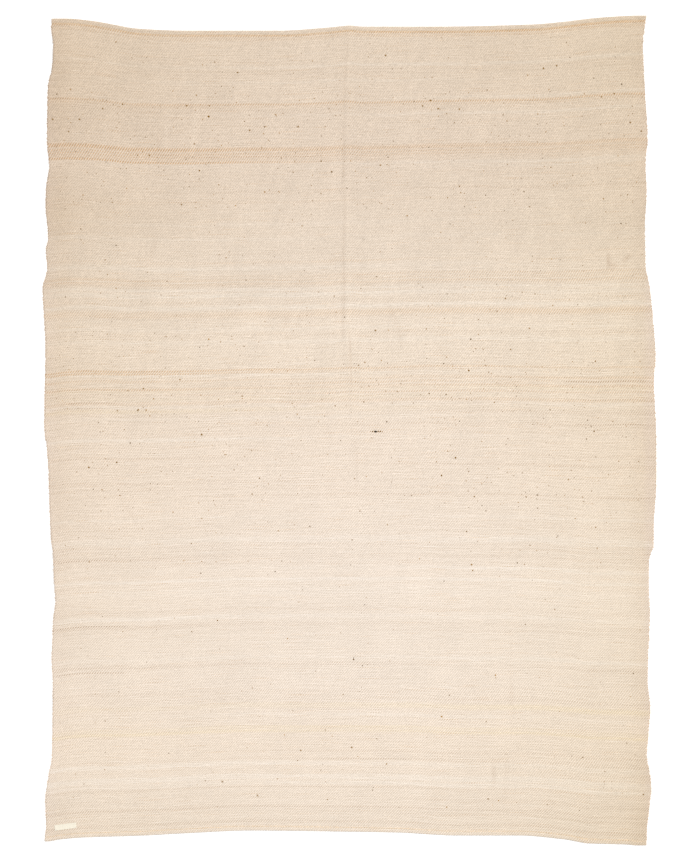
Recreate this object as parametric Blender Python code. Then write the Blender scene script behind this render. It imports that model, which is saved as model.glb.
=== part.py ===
"""Alpaca blanket of 1.5 by 2.0 m spread flat: one length of cloth, hemmed at both ends, and a sewn label.

Units are metres. +X runs across the cloth and +Y along it. The underside rests on z = 0, and the origin is
the middle of the blanket's box, on that surface.
"""

from collections import namedtuple
from math import radians

import bmesh
import bpy
import numpy as np

MM = 0.001

# Driving dimensions
BLANKET_WIDTH = 1.500
BLANKET_LENGTH = 2.000
CLOTH_THICKNESS = 3.0 * MM
LABEL_WIDTH = 55.0 * MM
LABEL_HEIGHT = 14.0 * MM
LABEL_THICKNESS = 0.6 * MM
LABEL_CENTRE = (-710.0 * MM, -990.0 * MM)
LABEL_TURN = radians(7.5)
LABEL_CORNER = 1.0 * MM
SEWN_GAP = 0.3 * MM

# Grid of the cloth: it is finest at the hems, the fold and the two long edges
COLUMNS_PER_SIDE = 12
EDGE_CROWDING = 1.35
ROWS_BETWEEN_HEMS = 62

# Where each edge stands off its straight line. Millimetres: along the edge from its middle, and outwards
EdgePoint = namedtuple("EdgePoint", "along out")
LEFT_EDGE = [
    EdgePoint(-1028, 12.5),
    EdgePoint(-990, 7.5),
    EdgePoint(-928, 9.5),
    EdgePoint(-865, 2),
    EdgePoint(-815, -7),
    EdgePoint(-640, -10),
    EdgePoint(-565, -6),
    EdgePoint(-528, -8),
    EdgePoint(-465, -11),
    EdgePoint(-428, -16),
    EdgePoint(-378, -13),
    EdgePoint(-315, -11),
    EdgePoint(-265, -5),
    EdgePoint(-190, -1),
    EdgePoint(-90, 2),
    EdgePoint(-40, 6),
    EdgePoint(10, 12),
    EdgePoint(210, 9),
    EdgePoint(360, 16),
    EdgePoint(385, 8),
    EdgePoint(410, 4.5),
    EdgePoint(448, 8),
    EdgePoint(485, 2.5),
    EdgePoint(560, 8.5),
    EdgePoint(610, 7),
    EdgePoint(660, -1),
    EdgePoint(723, 5),
    EdgePoint(860, 3),
    EdgePoint(910, -8),
    EdgePoint(960, -11),
    EdgePoint(1010, -5.5),
    EdgePoint(1030, -5),
]
RIGHT_EDGE = [
    EdgePoint(-1038, -7.5),
    EdgePoint(-1003, -7.5),
    EdgePoint(-940, -1),
    EdgePoint(-890, 3.5),
    EdgePoint(-853, -1),
    EdgePoint(-815, -8),
    EdgePoint(-740, -2),
    EdgePoint(-690, 1),
    EdgePoint(-628, -6),
    EdgePoint(-515, -2.5),
    EdgePoint(-465, 0),
    EdgePoint(-390, -3),
    EdgePoint(-328, -2.5),
    EdgePoint(-303, 4),
    EdgePoint(-290, 9),
    EdgePoint(-240, 9.5),
    EdgePoint(-128, 16),
    EdgePoint(-15, 16),
    EdgePoint(123, 9.5),
    EdgePoint(185, 14),
    EdgePoint(260, 9),
    EdgePoint(360, -1),
    EdgePoint(410, -11),
    EdgePoint(510, -13),
    EdgePoint(598, -8.5),
    EdgePoint(660, -11),
    EdgePoint(735, -6),
    EdgePoint(848, -13),
    EdgePoint(910, -16),
    EdgePoint(960, -18),
    EdgePoint(1010, -13),
    EdgePoint(1038, -7.5),
]
TOP_EDGE = [
    EdgePoint(-743, 30),
    EdgePoint(-713, 30),
    EdgePoint(-653, 25),
    EdgePoint(-593, 15),
    EdgePoint(-533, 5),
    EdgePoint(-413, 0),
    EdgePoint(-173, 0),
    EdgePoint(-53, 7.5),
    EdgePoint(8, 12.5),
    EdgePoint(38, 10),
    EdgePoint(218, 10),
    EdgePoint(458, 15),
    EdgePoint(548, 22.5),
    EdgePoint(608, 30),
    EdgePoint(668, 35),
    EdgePoint(728, 37.5),
]
BOTTOM_EDGE = [
    EdgePoint(-743, 27.5),
    EdgePoint(-713, 22.5),
    EdgePoint(-653, 17.5),
    EdgePoint(-503, 12.5),
    EdgePoint(-413, 7.5),
    EdgePoint(-233, 0),
    EdgePoint(-23, 2.5),
    EdgePoint(128, 5),
    EdgePoint(278, 12.5),
    EdgePoint(428, 12.5),
    EdgePoint(548, 22.5),
    EdgePoint(608, 32.5),
    EdgePoint(698, 35),
    EdgePoint(728, 37.5),
]

# The rolled hem in section. Millimetres: inwards from the cut end, and the cloth's thickness there
HemStep = namedtuple("HemStep", "inwards thickness")
HEM_SECTION = [
    HemStep(0, 3.4),
    HemStep(2, 5.2),
    HemStep(5, 5.8),
    HemStep(8.5, 5.0),
    HemStep(11, 3.0),
]

# The fold down the middle of the upper half. Millimetres: its crest's place and how far it lifts the cloth
CrestPoint = namedtuple("CrestPoint", "y x lift")
FOLD_CREST = [
    CrestPoint(-175, 26, 0),
    CrestPoint(-100, 22, 0.9),
    CrestPoint(100, 3, 1.8),
    CrestPoint(250, -8, 2.6),
    CrestPoint(600, -8, 2.8),
    CrestPoint(1037, -2, 2.8),
]
FOLD_COLUMNS = (-14, -6, 0, 6, 14)
FOLD_HALF_WIDTH = 14.0 * MM

# Low swells, most of them where a long edge is drawn in. Millimetres: middle, half sizes and lift
Swell = namedtuple("Swell", "x y half_x half_y lift")
SWELLS = [
    Swell(-745, 945, 90, 80, 3.2),
    Swell(-752, 665, 75, 70, 2.4),
    Swell(-742, -345, 110, 150, 3.4),
    Swell(-742, -690, 95, 110, 2.8),
    Swell(733, 940, 100, 90, 3.6),
    Swell(736, 500, 105, 140, 3.4),
    Swell(745, -390, 90, 85, 2.6),
    Swell(743, -615, 80, 70, 2.2),
    Swell(742, -800, 80, 75, 2.4),
    Swell(-500, 480, 150, 120, 1.6),
    Swell(330, 270, 150, 100, 1.5),
    Swell(395, -720, 110, 190, 1.8),
]


def smooth_curve(knots, values):
    """Returns a function of position: a smooth curve through the knots that never overshoots them."""
    knots = np.array(knots, dtype=float)
    values = np.array(values, dtype=float)
    steps = np.diff(knots)
    slopes = np.diff(values) / steps
    before, after = slopes[:-1], slopes[1:]
    one_way = before * after > 0
    tangents = np.zeros_like(values)
    inner = tangents[1:-1]
    inner[one_way] = 2 * (before * after)[one_way] / (before + after)[one_way]

    def curve(position):
        at = np.clip(position, knots[0], knots[-1])
        i = np.clip(np.searchsorted(knots, at, side="right") - 1, 0, len(steps) - 1)
        t = (at - knots[i]) / steps[i]
        rise = t * t * (3 - 2 * t)
        leaving = t * (1 - t) ** 2 * steps[i] * tangents[i]
        arriving = t * t * (t - 1) * steps[i] * tangents[i + 1]
        return values[i] + rise * (values[i + 1] - values[i]) + leaving + arriving

    return curve


def table_curve(table, place, value):
    """A smooth curve through two columns of a table in millimetres, as a function of metres."""
    places = [getattr(row, place) * MM for row in table]
    values = [getattr(row, value) * MM for row in table]
    return smooth_curve(places, values)


left_out = table_curve(LEFT_EDGE, "along", "out")
right_out = table_curve(RIGHT_EDGE, "along", "out")
top_out = table_curve(TOP_EDGE, "along", "out")
bottom_out = table_curve(BOTTOM_EDGE, "along", "out")
crest_x = table_curve(FOLD_CREST, "y", "x")
crest_lift = table_curve(FOLD_CREST, "y", "lift")


def mound(distance):
    """A soft mound of height 1 at distance 0 that ends level at distance 1."""
    return 0.5 * (1 + np.cos(np.pi * np.clip(np.abs(distance), 0, 1)))


def cloth_lift(x, y):
    """How far the cloth's underside stands off the surface that it lies on."""
    lift = crest_lift(y) * mound((x - crest_x(y)) / FOLD_HALF_WIDTH)
    for swell in SWELLS:
        across = (x - swell.x * MM) / (swell.half_x * MM)
        along = (y - swell.y * MM) / (swell.half_y * MM)
        lift = lift + swell.lift * MM * mound(np.hypot(across, along))
    return lift


def column_layout():
    """One entry a column: how far it goes from the fold to the edge on its side, and its offset there."""
    fold = [offset * MM for offset in FOLD_COLUMNS]
    reach = (np.arange(COLUMNS_PER_SIDE, 0, -1) / COLUMNS_PER_SIDE) ** (1 / EDGE_CROWDING)
    left = [(-share, fold[0]) for share in reach]
    middle = [(0.0, offset) for offset in fold]
    right = [(share, fold[-1]) for share in reach[::-1]]
    return left + middle + right


def column_x(share, offset, y):
    """The place across the cloth of a column, at each of its rows."""
    start = crest_x(y) + offset
    if share < 0:
        edge = -BLANKET_WIDTH / 2 - left_out(y)
    else:
        edge = BLANKET_WIDTH / 2 + right_out(y)
    return start + abs(share) * (edge - start)


def column_rows(straight_x):
    """The rows of a column from the bottom end to the top end, with the hems' own rows at both."""
    hem = np.array([step.inwards for step in HEM_SECTION]) * MM
    low = -BLANKET_LENGTH / 2 - bottom_out(straight_x)
    high = BLANKET_LENGTH / 2 + top_out(straight_x)
    between = np.linspace(low + hem[-1], high - hem[-1], ROWS_BETWEEN_HEMS + 1)[1:-1]
    return np.concatenate([low + hem, between, high - hem[::-1]])


def row_thickness():
    """The cloth's thickness at each row: rolled at both ends and single between them."""
    hem = [step.thickness * MM for step in HEM_SECTION]
    return np.array(hem + [CLOTH_THICKNESS] * (ROWS_BETWEEN_HEMS - 1) + hem[::-1])


def fabric_material(name, colour, roughness):
    """A plain matt cloth finish."""
    material = bpy.data.materials.new(name)
    material.use_nodes = True
    shader = material.node_tree.nodes["Principled BSDF"]
    shader.inputs["Base Color"].default_value = (*colour, 1)
    shader.inputs["Roughness"].default_value = roughness
    shader.inputs["Metallic"].default_value = 0.0
    return material


def add_object(name, build, material):
    """Runs build on an empty bmesh and links the result as one object with one material."""
    shape = bmesh.new()
    build(shape)
    bmesh.ops.recalc_face_normals(shape, faces=shape.faces)
    mesh = bpy.data.meshes.new(name)
    shape.to_mesh(mesh)
    shape.free()
    mesh.shade_smooth()
    mesh.set_sharp_from_angle(angle=radians(40))
    mesh.materials.append(material)
    thing = bpy.data.objects.new(name, mesh)
    bpy.context.scene.collection.objects.link(thing)
    return thing


def build_cloth(shape):
    """The cloth as a closed sheet: an upper grid, a lower grid and a wall round their edges."""
    upper, lower = [], []
    thickness = row_thickness()
    for share, offset in column_layout():
        y = column_rows(column_x(share, offset, 0.0))
        x = column_x(share, offset, y)
        lift = cloth_lift(x, y)
        upper.append([shape.verts.new(point) for point in zip(x, y, lift + thickness)])
        lower.append([shape.verts.new(point) for point in zip(x, y, lift)])
    for grid, turned in ((upper, False), (lower, True)):
        for near, far in zip(grid[:-1], grid[1:]):
            for row in range(len(near) - 1):
                corners = [near[row], far[row], far[row + 1], near[row + 1]]
                shape.faces.new(corners[::-1] if turned else corners)
    for rim_up, rim_down in zip(rim_of(upper), rim_of(lower)):
        shape.faces.new([rim_up[1], rim_up[0], rim_down[0], rim_down[1]])


def rim_of(grid):
    """The grid's outer edges, each a pair of corners, anticlockwise from above."""
    loop = [column[0] for column in grid]
    loop += grid[-1][1:]
    loop += [column[-1] for column in grid[-2::-1]]
    loop += grid[0][-2:0:-1]
    return zip(loop, loop[1:] + loop[:1])


def build_label(shape):
    """A thin plate with slightly rounded corners."""
    bmesh.ops.create_cube(shape, size=1.0)
    bmesh.ops.scale(shape, vec=(LABEL_WIDTH, LABEL_HEIGHT, LABEL_THICKNESS), verts=shape.verts)
    upright = [edge for edge in shape.edges if abs(edge.verts[0].co.z - edge.verts[1].co.z) > SEWN_GAP]
    bmesh.ops.bevel(shape, geom=upright, offset=LABEL_CORNER, segments=2, profile=0.5, affect="EDGES")


def main():
    for thing in list(bpy.data.objects):
        bpy.data.objects.remove(thing, do_unlink=True)
    cream = fabric_material("cream alpaca twill", (0.82, 0.70, 0.56), 0.92)
    tape = fabric_material("woven label tape", (0.86, 0.79, 0.66), 0.60)
    add_object("blanket", build_cloth, cream)
    label = add_object("label", build_label, tape)
    top_of_cloth = CLOTH_THICKNESS + cloth_lift(*LABEL_CENTRE)
    label.location = (*LABEL_CENTRE, top_of_cloth + SEWN_GAP + LABEL_THICKNESS / 2)
    label.rotation_euler = (0, 0, LABEL_TURN)


main()
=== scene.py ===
import math
from collections import namedtuple

import bpy
import numpy as np
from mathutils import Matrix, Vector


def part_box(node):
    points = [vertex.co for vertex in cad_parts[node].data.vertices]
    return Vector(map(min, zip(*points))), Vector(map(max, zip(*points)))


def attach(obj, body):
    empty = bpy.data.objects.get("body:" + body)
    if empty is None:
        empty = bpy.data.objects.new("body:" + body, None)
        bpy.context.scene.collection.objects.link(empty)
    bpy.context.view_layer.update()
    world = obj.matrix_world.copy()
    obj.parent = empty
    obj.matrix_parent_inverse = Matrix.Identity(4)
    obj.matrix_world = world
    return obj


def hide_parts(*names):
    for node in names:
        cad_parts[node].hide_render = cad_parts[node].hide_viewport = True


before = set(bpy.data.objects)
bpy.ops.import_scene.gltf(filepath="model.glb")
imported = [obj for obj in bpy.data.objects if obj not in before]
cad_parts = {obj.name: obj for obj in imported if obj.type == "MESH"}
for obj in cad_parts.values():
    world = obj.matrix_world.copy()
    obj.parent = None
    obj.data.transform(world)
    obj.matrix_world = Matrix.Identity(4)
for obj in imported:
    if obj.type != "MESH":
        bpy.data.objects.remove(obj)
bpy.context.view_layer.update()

bl_info = {
    "name": "Hand-woven blanket",
    "version": (1, 0, 0),
    "blender": (4, 5, 0),
    "location": "View3D > Sidebar > Blanket",
    "description": "Builds a cream twill blanket spread flat, with its hems, selvedges, flecks and label",
    "category": "Object",
}

MM = 0.001


def table_of(kind, *rows):
    """A table: one named row for each tuple."""
    return [kind(*row) for row in rows]


# The blanket's nominal size, the same as its solid's
WIDTH = 1.500
LENGTH = 2.000
THICKNESS = 3.0 * MM

# The picture: its size in pixels, the scale on the cloth and the pixel over the origin
PICTURE_WIDTH = 695
PICTURE_HEIGHT = 863
PIXEL = 2.5 * MM
ORIGIN_PIXEL = (349.5, 430.5)

# Where each edge stands off its straight line. Millimetres: along the edge from its middle, and outwards
EdgePoint = namedtuple("EdgePoint", "along out")
LEFT_EDGE = table_of(
    EdgePoint,
    (-1028, 12.5), (-990, 7.5), (-928, 9.5), (-865, 2), (-815, -7), (-640, -10), (-565, -6), (-528, -8),
    (-465, -11), (-428, -16), (-378, -13), (-315, -11), (-265, -5), (-190, -1), (-90, 2), (-40, 6),
    (10, 12), (210, 9), (360, 16), (385, 8), (410, 4.5), (448, 8), (485, 2.5), (560, 8.5), (610, 7),
    (660, -1), (723, 5), (860, 3), (910, -8), (960, -11), (1010, -5.5), (1030, -5),
)
RIGHT_EDGE = table_of(
    EdgePoint,
    (-1038, -7.5), (-1003, -7.5), (-940, -1), (-890, 3.5), (-853, -1), (-815, -8), (-740, -2), (-690, 1),
    (-628, -6), (-515, -2.5), (-465, 0), (-390, -3), (-328, -2.5), (-303, 4), (-290, 9), (-240, 9.5),
    (-128, 16), (-15, 16), (123, 9.5), (185, 14), (260, 9), (360, -1), (410, -11), (510, -13), (598, -8.5),
    (660, -11), (735, -6), (848, -13), (910, -16), (960, -18), (1010, -13), (1038, -7.5),
)
TOP_EDGE = table_of(
    EdgePoint,
    (-743, 30), (-713, 30), (-653, 25), (-593, 15), (-533, 5), (-413, 0), (-173, 0), (-53, 7.5), (8, 12.5),
    (38, 10), (218, 10), (458, 15), (548, 22.5), (608, 30), (668, 35), (728, 37.5),
)
BOTTOM_EDGE = table_of(
    EdgePoint,
    (-743, 27.5), (-713, 22.5), (-653, 17.5), (-503, 12.5), (-413, 7.5), (-233, 0), (-23, 2.5), (128, 5),
    (278, 12.5), (428, 12.5), (548, 22.5), (608, 32.5), (698, 35), (728, 37.5),
)

# The fold down the middle of the upper half. Millimetres: its crest's place and how far it lifts the cloth
CrestPoint = namedtuple("CrestPoint", "y x lift")
FOLD_CREST = table_of(
    CrestPoint,
    (-175, 26, 0), (-100, 22, 0.9), (100, 3, 1.8), (250, -8, 2.6), (600, -8, 2.8), (1037, -2, 2.8),
)
FOLD_HALF_WIDTH = 14.0 * MM

# Low swells, most of them where a long edge is drawn in. Millimetres: middle, half sizes and lift
Swell = namedtuple("Swell", "x y half_x half_y lift")
SWELLS = table_of(
    Swell,
    (-745, 945, 90, 80, 3.2), (-752, 665, 75, 70, 2.4), (-742, -345, 110, 150, 3.4),
    (-742, -690, 95, 110, 2.8), (733, 940, 100, 90, 3.6), (736, 500, 105, 140, 3.4),
    (745, -390, 90, 85, 2.6), (743, -615, 80, 70, 2.2), (742, -800, 80, 75, 2.4),
    (-500, 480, 150, 120, 1.6), (330, 270, 150, 100, 1.5), (395, -720, 110, 190, 1.8),
)

# How much of the fold's height the worn cloth keeps
FOLD_LEFT = 0.5

# One seed for each part of the work that draws random numbers
SEEDS = {"hems": 51, "selvedges": 52, "flecks": 61, "fibres": 71, "label": 81}

# Slight creases pressed into the face, and soft stains. Millimetres: both ends, half width and depth, below
# nought for a rib; then how much darker the line is: painted shade along a crease, painted light along a rib
# where it is below nought, and a stain's own colour where the depth is nought
Crease = namedtuple("Crease", "x0 y0 x1 y1 half_width depth shade")
CREASES = table_of(
    Crease,
    (-5, 1010, -17, 740, 5, 0.35, 0.040), (-16, 800, -13, 520, 5, 0.35, 0.045),
    (-13, 600, -16, 200, 6, 0.40, 0.070), (-4, 275, 8, 95, 5, 0.40, 0.110),
    (-22, 400, -16, 215, 10, 0.20, 0.025), (8, 110, 16, -60, 12, 0.15, 0.015),
    (17, -20, 18, -180, 5, 0.30, 0.040), (402, -500, 406, -780, 8, 0.30, 0.035),
    (359, -820, 361, -900, 8, 0.30, 0.100), (394, -760, 390, -930, 8, 0.30, 0.040),
    (404, -630, 405, -690, 7, 0.20, 0.060), (-128, 300, -158, 240, 9, -0.35, -0.045),
    (-147, 305, -172, 245, 8, 0.30, 0.040), (85, 330, 128, 255, 8, 0.35, 0.060),
    (120, 262, 130, 200, 8, 0.30, 0.045), (100, 320, 142, 246, 9, -0.25, -0.035),
    (-335, 955, -322, 850, 8, 0.30, 0.040), (-483, 480, -500, 425, 8, 0.35, 0.080),
    (-475, 755, -485, 675, 8, 0.35, 0.060), (-452, 830, -462, 690, 9, -0.30, -0.050),
    (-382, 850, -392, 685, 9, -0.30, -0.050), (-608, 790, -622, 660, 10, -0.35, -0.055),
    (-332, 480, -352, 400, 10, -0.25, -0.045), (-160, 600, -192, 540, 10, -0.30, -0.050),
    (-260, 475, -282, 395, 9, -0.30, -0.040), (-618, 105, -610, 0, 10, -0.25, -0.050),
    (478, 495, 462, 360, 9, 0.25, 0.040), (282, 490, 268, 450, 8, 0.30, 0.055),
    (502, 492, 505, 460, 8, 0.20, 0.045), (-575, -170, -530, -235, 8, 0.30, 0.070),
    (492, 625, 512, 530, 16, -0.25, -0.035), (140, -700, 165, -800, 9, 0.20, 0.035),
    (680, 420, 707, 441, 8, 0, 0.190), (645, 446, 648, 408, 8, 0, 0.200), (640, 412, 674, 414, 9, 0, 0.160),
    (644, 402, 668, 402, 8, 0, 0.110),
)

# The rolled hem in section. Millimetres: inwards from its end, height of the face and of the underside
HemStep = namedtuple("HemStep", "inwards face underside")
HEM_SECTION = table_of(
    HemStep,
    (0.0, 2.0, 2.0), (0.4, 3.2, 0.9), (1.2, 4.0, 0.3), (2.4, 4.5, 0.05), (4.0, 4.6, 0), (5.8, 4.5, 0),
    (7.6, 4.25, 0), (9.2, 4.0, 0), (10.6, 3.55, 0), (11.8, 3.1, 0), (13.0, 2.95, 0), (14.5, 3.0, 0),
)
# The seam where each hem is sewn down: how many millimetres in it lies and how much of the painted shade
# along its groove it shows
Seam = namedtuple("Seam", "inwards shown")
BOTTOM_SEAM = Seam(10.8, 0.4)
TOP_SEAM = Seam(12.4, 0.9)
SEAM_HALF_WIDTH = 2.8 * MM
SEAM_PAINTED_SHADE = (0.98, 0.93, 0.86)
# The selvedge in section, the same way, as shares of the thickness
SelvedgeStep = namedtuple("SelvedgeStep", "inwards face underside")
SELVEDGE_SECTION = table_of(
    SelvedgeStep,
    (0.0, 0.50, 0.50), (0.6, 0.85, 0.16), (1.6, 1.04, 0.03), (3.2, 1.08, 0), (6.5, 1.0, 0), (13.0, 1.0, 0),
)

# How the picks bow: how many millimetres lower than straight a pick lies, at places across. Each row is one
# place along the cloth
BOW_ACROSS = (-750, *range(-686, 715, 100), 750)
STRAIGHT = (0,) * len(BOW_ACROSS)
PickBow = namedtuple("PickBow", "y drops")
PICK_BOWS = table_of(
    PickBow,
    (-1000, STRAIGHT),
    (-810, (0.5, 0.5, 0.5, -0.5, -0.5, 0, 0.5, 0, -0.8, -2, -3.5, -3, -2.8, -3.8, -6, -5, -5)),
    (-285, (10.5, 9, 5.5, 1, -0.5, -0.5, -0.3, -0.3, 0.8, -1.8, -4.5, -4.4, -3, -0.6, 1, 2.7, 3)),
    (240, (15, 11, 4, -1, -0.7, -1.5, -2.5, -1, -1, -4.5, -9.5, -10, -7, -4.5, -3, -2.8, -2.8)),
    (540, (9, 6.2, 1, -3, -2.7, -3.6, -4.3, -2.1, -1, -5.5, -11.2, -11.6, -9, -7, -5, -5, -6)),
    (765, (5, 4, 0.5, -4, -4, -5, -5.5, -3, -1, -2.5, -5.5, -6.5, -5.5, -3.5, -2.2, -2, -2)),
    (1000, STRAIGHT),
)

# How the weave changes along the cloth: millimetres along, how closely the picks are beaten up and how
# strongly the twill's hollows are painted darker, both as shares of the usual
WeaveChange = namedtuple("WeaveChange", "y beat twill")
WEAVE_CHANGES = table_of(
    WeaveChange,
    (-1000, 1.09, 2.2), (-840, 1.14, 2.4), (-730, 1.01, 2.3), (-620, 1.11, 1.9), (-510, 1.14, 1.7),
    (-400, 1.12, 1.3), (-290, 1.10, 1.5), (-180, 1.02, 1.0), (-70, 1.03, 0.9), (40, 1.01, 1.15),
    (150, 0.95, 0.95), (260, 1.07, 0.55), (370, 1.04, 0.85), (480, 1.12, 0.60), (590, 1.01, 0.45),
    (700, 0.94, 0.40), (810, 0.92, 0.30), (920, 0.99, 0.15), (1000, 0.99, 0.15),
)

# What each shade of yarn multiplies the plain pick's red, green and blue by
YARN_SHADES = {
    "ochre": (0.85, 0.66, 0.44),
    "grey": (0.84, 0.79, 0.74),
    "straw": (1.00, 0.97, 0.80),
    "white": (1.06, 1.11, 1.17),
}

# The x at which the stripes' places are given
STRIPES_MEASURED_AT = -36 * MM
# The weft's stripes by the shade of their yarn, top to bottom. Millimetres: place and half width; then how
# strong each is at the left, the middle and the right
Stripe = namedtuple("Stripe", "y width left middle right")
STRIPES = {
    "ochre": table_of(
        Stripe,
        (995, 5, 0.36, 0.43, 0.68), (987, 5, 0.13, 0.2, 0.23), (820, 4, 0.35, 0.43, 0.46),
        (813, 4, 0.14, 0.13, 0.16), (709, 5, 0.5, 0.3, 0.3), (704, 4, 0.44, 0.37, 0.18),
        (695, 5, 0.39, 0.32, 0.25), (689, 4, 0.52, 0.41, 0.25), (682, 5, 0.26, 0.11, 0.06),
        (675, 4, 0.83, 0.14, 0), (575, 5, 0.07, 0.09, 0), (425, 4, 0.1, 0.17, 0.04),
        (390, 5, 0.04, 0.17, 0.16), (380, 6, 0.24, 0.14, 0.15), (372, 6, 0.19, 0.21, 0.21),
        (295, 11, 0.17, 0.22, 0.27), (155, 4, 0.47, 0.35, 0.25), (149, 4, 0.48, 0.14, 0),
        (130, 5, 0.2, 0.11, 0.25), (120, 4, 0, 0.31, 0.07), (110, 5, 0.34, 0.18, 0.30),
        (95, 4, 0.10, 0.23, 0.22), (75, 6, 0.16, 0.18, 0.22),
    ),
    "grey": table_of(
        Stripe,
        (930, 4, 0.17, 0, 0.12), (905, 4, 0.18, 0.16, 0.16), (895, 4, 0.16, 0.22, 0.08),
        (803, 6, 0.18, 0.18, 0), (600, 5, 0.1, 0.14, 0.33), (445, 5, 0.19, 0.13, 0.08),
        (365, 5, 0.2, 0.31, 0.14), (325, 6, 0.13, 0.22, 0.05), (285, 5, 0.19, 0.24, 0.15),
        (243, 6, 0.17, 0.2, 0.24), (45, 5, 0.1, 0, 0.33), (15, 5, 0, 0.25, 0.24), (-5, 5, 0.12, 0.08, 0.05),
        (-35, 5, 0.1, 0.1, 0), (-62, 6, 0.26, 0.1, 0.2), (-85, 5, 0.19, 0.17, 0.42),
        (-125, 5, 0.27, 0.07, 0.06), (-142, 6, 0.15, 0.18, 0.04), (-160, 6, 0.04, 0.3, 0.26),
        (-237, 8, 0.07, 0.05, 0.15), (-285, 5, 0.17, 0.13, 0.18), (-295, 4, 0.2, 0, 0.33),
        (-312, 8, 0.41, 0.17, 0.24), (-330, 5, 0.16, 0.16, 0.12), (-445, 8, 0.18, 0.16, 0.15),
        (-482, 8, 0.42, 0.19, 0.2), (-497, 6, 0.08, 0.14, 0.27), (-583, 7, 0.37, 0.23, 0.2),
        (-650, 6, 0.22, 0.13, 0), (-668, 6, 0.14, 0.2, 0.24), (-800, 5, 0, 0.32, 0.26),
        (-820, 4, 0.18, 0.36, 0.17), (-890, 4, 0.35, 0.34, 0.15), (-917, 6, 0.11, 0.11, 0.28),
        (-940, 5, 0.47, 0.4, 0.35), (-952, 5, 0, 0.2, 0.3), (-977, 6, 0.4, 0.3, 0.4),
    ),
    "straw": table_of(
        Stripe,
        (103, 5, 0.25, 0.15, 0.35), (85, 7, 0.15, 0.20, 0.05), (55, 7, 0.32, 0.12, 0.05),
        (-686, 10, 0.14, 0.28, 0.47), (-740, 5, 0.26, 0.48, 0.25), (-750, 5, 0.83, 0.39, 0.68),
    ),
    "white": table_of(
        Stripe,
        (915, 6, 0.26, 0.51, 0.64), (875, 6, 0.18, 0.38, 0), (830, 5, 0.08, 0.16, 0.63),
        (790, 5, 0, 0.27, 0.89), (666, 5, 0.25, 0.21, 0.9), (656, 6, 0.05, 0.05, 0.4),
        (520, 8, 0.23, 0.24, 0.02), (482, 8, 0.32, 0.14, 0.19), (410, 8, 0.44, 0.3, 0.05),
        (357, 5, 0.87, 0.38, 0.45), (343, 7, 0.82, 0.66, 0.4), (312, 6, 0.64, 0.7, 0.91),
        (258, 6, 0.27, 0.4, 0.22), (225, 9, 0.3, 0.4, 0.35), (143, 4, 0.53, 0.24, 0),
        (65, 5, 0.40, 0.01, 0.35), (35, 5, 0.25, 0.37, 0), (-17, 6, 0.85, 0.28, 0.18),
        (-215, 5, 0.43, 0, 0.4), (-270, 12, 0.35, 0.28, 0.49), (-342, 6, 0.2, 0.16, 0.83),
        (-370, 5, 0.8, 0.6, 0.85), (-400, 16, 0.24, 0.18, 0.13), (-462, 7, 0.63, 0.22, 0.28),
        (-565, 6, 0.25, 0.22, 0.56), (-710, 6, 0.12, 0.47, 0.23), (-831, 8, 0.73, 0.54, 0.38),
        (-865, 10, 0.94, 0.91, 0.94), (-880, 8, 0.31, 0.53, 0.59),
    ),
}

# Short dark stretches of single picks. Millimetres: from, to, place and width; then how dark each is
Dash = namedtuple("Dash", "x0 x1 y width depth")
DARK_YARN = (0.55, 0.42, 0.28)
DARK_PICKS = table_of(
    Dash,
    (-745, -560, -479, 4, 0.40), (600, 745, -160, 4, 0.22), (-745, -600, -314, 5, 0.26),
    (-420, -60, 689, 5, 0.12), (250, 745, 131, 4, 0.12), (520, 745, 121, 5, 0.30),
    (-745, -690, 820, 6, 0.18), (600, 740, -583, 5, 0.16), (-60, 160, -820, 4, 0.14),
    (-745, -560, -595, 5, 0.22), (-740, -600, 62, 5, 0.24), (500, 740, -270, 4, 0.1),
    (-700, -560, 75, 8, 0.14), (560, 740, 77, 7, 0.20), (-740, -560, 880, 5, 0.12), (540, 740, 17, 5, 0.24),
    (-740, -560, 306, 5, 0.12),
)

# The wool's own shade along the cloth, with painted light that is dimmest at the top end: millimetres, then
# red, green and blue as shares of the plain colour
Shade = namedtuple("Shade", "y red green blue")
WOOL_SHADES_AND_LIGHT = table_of(
    Shade,
    (1000, 0.830, 0.786, 0.754), (775, 0.831, 0.787, 0.766), (545, 0.868, 0.833, 0.819),
    (335, 0.918, 0.894, 0.891), (150, 0.947, 0.922, 0.918), (0, 0.968, 0.944, 0.954),
    (-150, 0.981, 0.962, 0.981), (-330, 1.009, 0.998, 1.028), (-600, 1.034, 1.023, 1.052),
    (-775, 1.039, 1.017, 1.025), (-925, 1.011, 0.993, 1.001), (-1000, 0.995, 0.977, 0.979),
)
# Painted shade from side to side, darker towards both selvedges: millimetres, then a share of the brightness
# and one more of the blue
SidePaintedShade = namedtuple("SidePaintedShade", "x share blue")
SIDE_PAINTED_SHADES = table_of(
    SidePaintedShade,
    (-750, 0.854, 1.017), (-725, 0.863, 1.004), (-680, 0.905, 0.997), (-600, 0.927, 0.995),
    (-400, 0.965, 0.998), (-120, 0.998, 1.001), (100, 1.002, 0.999), (400, 0.978, 0.989),
    (600, 0.945, 0.974), (690, 0.918, 0.970), (730, 0.868, 0.977), (750, 0.841, 1.012),
)
# How much of that painted shade each of red, green and blue takes, as powers
SIDE_WARMTH = (0.75, 1.0, 1.4)
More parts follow.
